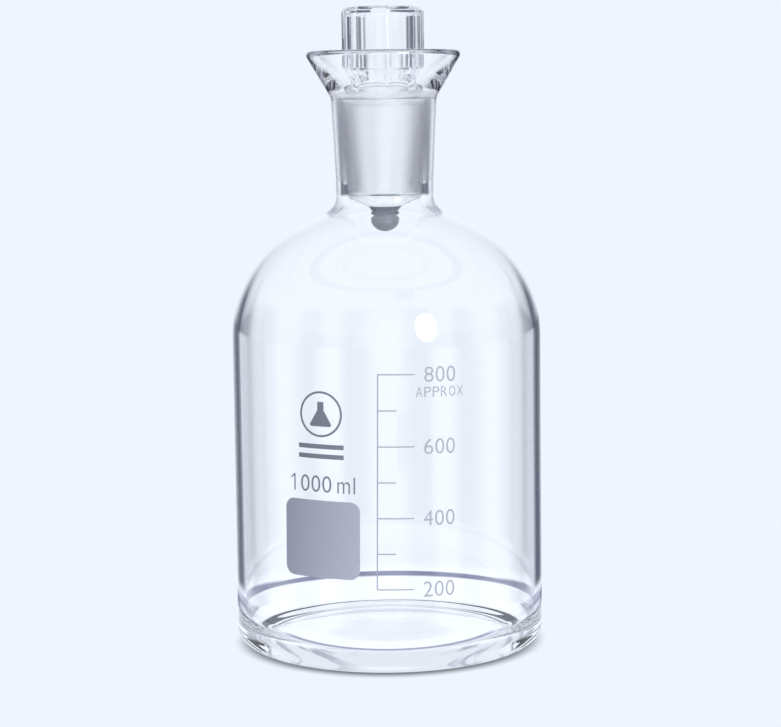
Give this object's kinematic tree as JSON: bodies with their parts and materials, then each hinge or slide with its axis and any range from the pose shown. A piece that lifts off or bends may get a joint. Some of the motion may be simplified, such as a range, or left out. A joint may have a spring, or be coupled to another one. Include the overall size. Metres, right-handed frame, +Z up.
{
  "type": "reagent bottle",
  "caption": "Round-shouldered clear glass reagent bottle with a flared water-seal collar, a ground faceted-head stopper that lifts out, and a fired volume scale.",
  "frame": {"origin": "centre of the circle that the base stands on", "axes": "+Z up along the bottle's axis to the stopper; the printed front looks towards -Y, and the volume scale is on the +X side of it"},
  "size_m": [0.105, 0.1055, 0.216],
  "materials": {
    "clear_glass": "clear borosilicate glass, fire-polished, with a fine ground band in the neck and on the stopper's cone",
    "line_enamel": "fired grey-white enamel lines and characters, slightly rough",
    "patch_enamel": "fired matt enamel that takes a pencil"
  },
  "bodies": {
    "bottle": {"bottle": "clear_glass", "capacity_1": "line_enamel", "capacity_2": "line_enamel", "capacity_3": "line_enamel", "capacity_4": "line_enamel", "capacity_unit_l": "line_enamel", "capacity_unit_m": "line_enamel", "emblem_bar_lower": "line_enamel", "emblem_bar_upper": "line_enamel", "emblem_flask": "line_enamel", "emblem_ring": "line_enamel", "numeral_200_1": "line_enamel", "numeral_200_2": "line_enamel", "numeral_200_3": "line_enamel", "numeral_400_1": "line_enamel", "numeral_400_2": "line_enamel", "numeral_400_3": "line_enamel", "numeral_600_1": "line_enamel", "numeral_600_2": "line_enamel", "numeral_600_3": "line_enamel", "numeral_800_1": "line_enamel", "numeral_800_2": "line_enamel", "numeral_800_3": "line_enamel", "scale_note_1": "line_enamel", "scale_note_2": "line_enamel", "scale_note_3": "line_enamel", "scale_note_4": "line_enamel", "scale_note_5": "line_enamel", "scale_note_6": "line_enamel", "scale_rule": "line_enamel", "write_on_patch": "patch_enamel"},
    "stopper": {"stopper": "clear_glass"}
  },
  "joints": [
    {"name": "stopper_lift", "type": "slide", "parent": "bottle", "child": "stopper", "axis": [0, 0, 1], "range_m": [0, 0.075]}
  ]
}
